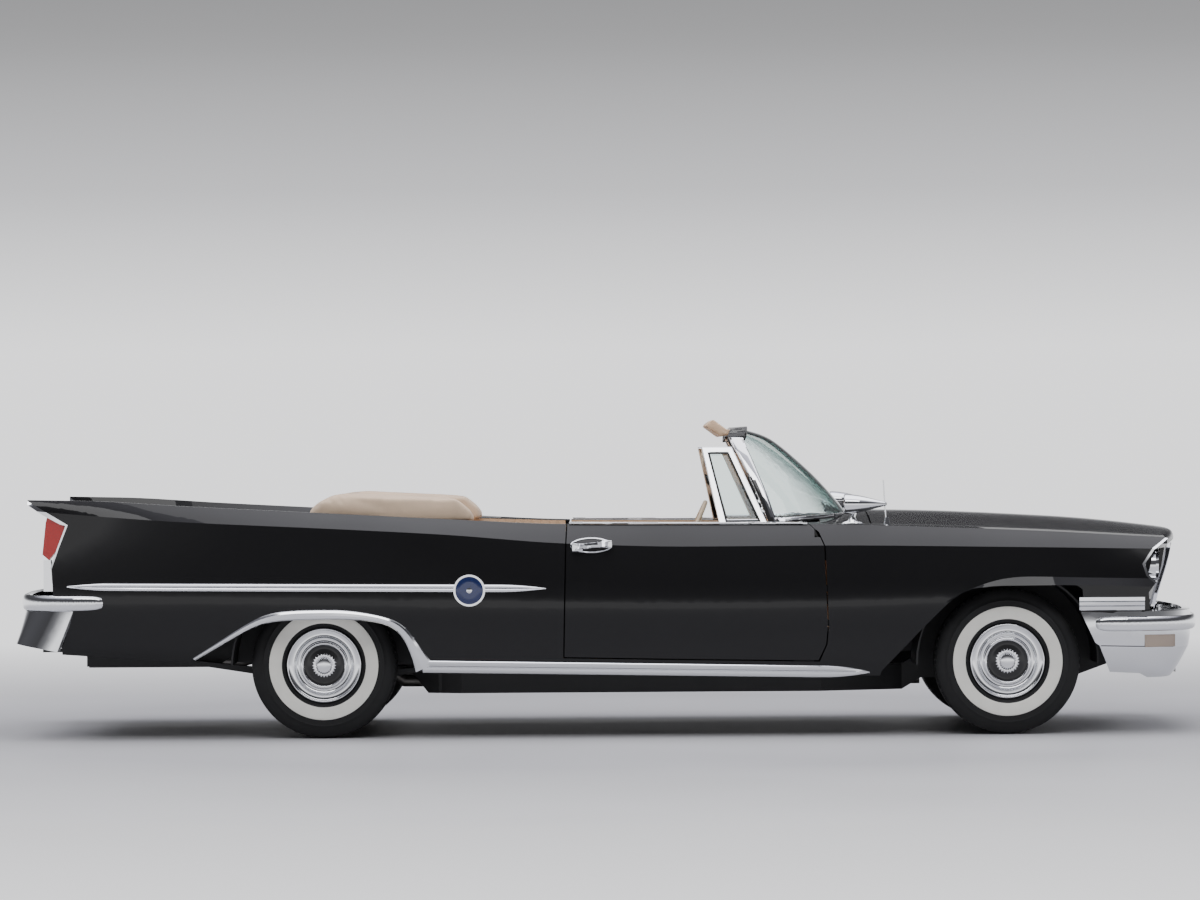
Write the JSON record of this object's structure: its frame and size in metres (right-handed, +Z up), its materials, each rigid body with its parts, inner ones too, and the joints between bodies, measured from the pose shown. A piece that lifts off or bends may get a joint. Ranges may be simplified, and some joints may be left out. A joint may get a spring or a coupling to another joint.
{
  "type": "two-door finned convertible car",
  "caption": "Full-size open two-door car with tail fins, wrap-round windshield, opening doors, hood and trunk, steered front wheels and turning wheels.",
  "frame": {"origin": "on the ground midway between the outermost points of the bumpers, on the centre plane", "axes": "+X forward, +Y to the car's left, +Z up"},
  "size_m": [5.611, 2.019, 1.4849],
  "materials": {
    "black_paint": "gloss black enamel",
    "chassis_black": "satin black chassis paint",
    "bright_chrome": "polished chrome plate",
    "tyre_rubber": "black rubber with a wide white sidewall",
    "window_glass": "green-tinted safety glass",
    "red_lens": "moulded red lens",
    "clear_lens": "fluted clear lens",
    "tan_leather": "tan pleated leather",
    "tan_cover": "tan vinyl-coated cloth",
    "dash_paint": "black enamel with bright trim",
    "wheel_plastic": "moulded tan rim",
    "cast_iron_grey": "painted cast iron",
    "pipe_steel": "aluminised steel",
    "plate_white": "blank white plate"
  },
  "bodies": {
    "root": {"frame_rails": "chassis_black", "floor_pan": "black_paint", "cowl_and_firewall": "black_paint", "front_fender_left": "black_paint", "front_fender_right": "black_paint", "quarter_panel_left": "black_paint", "quarter_panel_right": "black_paint", "front_wheelhouses": "chassis_black", "rear_wheelhouses": "chassis_black", "nose_panel": "black_paint", "grille": "bright_chrome", "headlamp_bezels": "bright_chrome", "headlamp_lenses": "clear_lens", "front_bumper": "bright_chrome", "rear_bumper": "bright_chrome", "bumper_brackets": "chassis_black", "tail_panel": "black_paint", "tail_lamp_lenses": "red_lens", "tail_lamp_bezels": "bright_chrome", "rear_deck": "black_paint", "windshield_frame": "bright_chrome", "windshield_header": "dash_paint", "windshield_glass": "window_glass", "dashboard": "dash_paint", "steering_column": "dash_paint", "front_seat": "tan_leather", "rear_seat": "tan_leather", "top_boot": "tan_cover", "sun_visors": "tan_leather", "interior_mirror": "bright_chrome", "fender_mirrors": "bright_chrome", "aerial": "bright_chrome", "side_mouldings": "bright_chrome", "engine_block": "cast_iron_grey", "front_suspension": "chassis_black", "rear_axle": "chassis_black", "leaf_springs": "chassis_black", "exhaust_system": "pipe_steel", "propeller_shaft": "chassis_black", "number_plates": "plate_white"},
    "hood": {"hood": "black_paint"},
    "trunk_lid": {"trunk_lid": "black_paint"},
    "steering_wheel": {"steering_wheel": "wheel_plastic"},
    "knuckle_left": {"knuckle_left": "chassis_black"},
    "door_left": {"door_left": "black_paint", "door_brightwork_left": "bright_chrome", "vent_glass_left": "window_glass"},
    "wheel_front_left": {"tyre_front_left": "tyre_rubber", "wheel_front_left": "bright_chrome"},
    "wheel_rear_left": {"tyre_rear_left": "tyre_rubber", "wheel_rear_left": "bright_chrome"},
    "knuckle_right": {"knuckle_right": "chassis_black"},
    "door_right": {"door_right": "black_paint", "door_brightwork_right": "bright_chrome", "vent_glass_right": "window_glass"},
    "wheel_front_right": {"tyre_front_right": "tyre_rubber", "wheel_front_right": "bright_chrome"},
    "wheel_rear_right": {"tyre_rear_right": "tyre_rubber", "wheel_rear_right": "bright_chrome"}
  },
  "joints": [
    {"name": "steer_left", "type": "hinge", "parent": "root", "child": "knuckle_left", "pos_m": [1.8635, 0.7, 0.343], "axis": [0, 0, 1], "range_deg": [-30, 30]},
    {"name": "front_left_spin", "type": "hinge", "parent": "knuckle_left", "child": "wheel_front_left", "pos_m": [1.8635, 0.777, 0.343], "axis": [0, 1, 0], "continuous": true},
    {"name": "rear_left_spin", "type": "hinge", "parent": "root", "child": "wheel_rear_left", "pos_m": [-1.3365, 0.762, 0.343], "axis": [0, 1, 0], "continuous": true},
    {"name": "door_left_hinge", "type": "hinge", "parent": "root", "child": "door_left", "pos_m": [0.972, 0.985, 0.6], "axis": [0, 0, -1], "range_deg": [0, 65]},
    {"name": "steer_right", "type": "hinge", "parent": "root", "child": "knuckle_right", "pos_m": [1.8635, -0.7, 0.343], "axis": [0, 0, 1], "range_deg": [-30, 30]},
    {"name": "front_right_spin", "type": "hinge", "parent": "knuckle_right", "child": "wheel_front_right", "pos_m": [1.8635, -0.777, 0.343], "axis": [0, 1, 0], "continuous": true},
    {"name": "rear_right_spin", "type": "hinge", "parent": "root", "child": "wheel_rear_right", "pos_m": [-1.3365, -0.762, 0.343], "axis": [0, 1, 0], "continuous": true},
    {"name": "door_right_hinge", "type": "hinge", "parent": "root", "child": "door_right", "pos_m": [0.972, -0.985, 0.6], "axis": [0, 0, 1], "range_deg": [0, 65]},
    {"name": "hood_hinge", "type": "hinge", "parent": "root", "child": "hood", "pos_m": [1.263, 0, 1.039], "axis": [0, -1, 0], "range_deg": [0, 50]},
    {"name": "trunk_hinge", "type": "hinge", "parent": "root", "child": "trunk_lid", "pos_m": [-1.512, 0, 1.0235], "axis": [0, 1, 0], "range_deg": [0, 65]},
    {"name": "steering_wheel_turn", "type": "hinge", "parent": "root", "child": "steering_wheel", "pos_m": [0.395, 0.39, 0.904], "axis": [-0.9136, 0, 0.4067], "range_deg": [-450, 450]}
  ],
  "couplings": [
    {"joint": "steer_right", "follows": "steer_left", "ratio": 1},
    {"joint": "steering_wheel_turn", "follows": "steer_left", "ratio": 15}
  ]
}
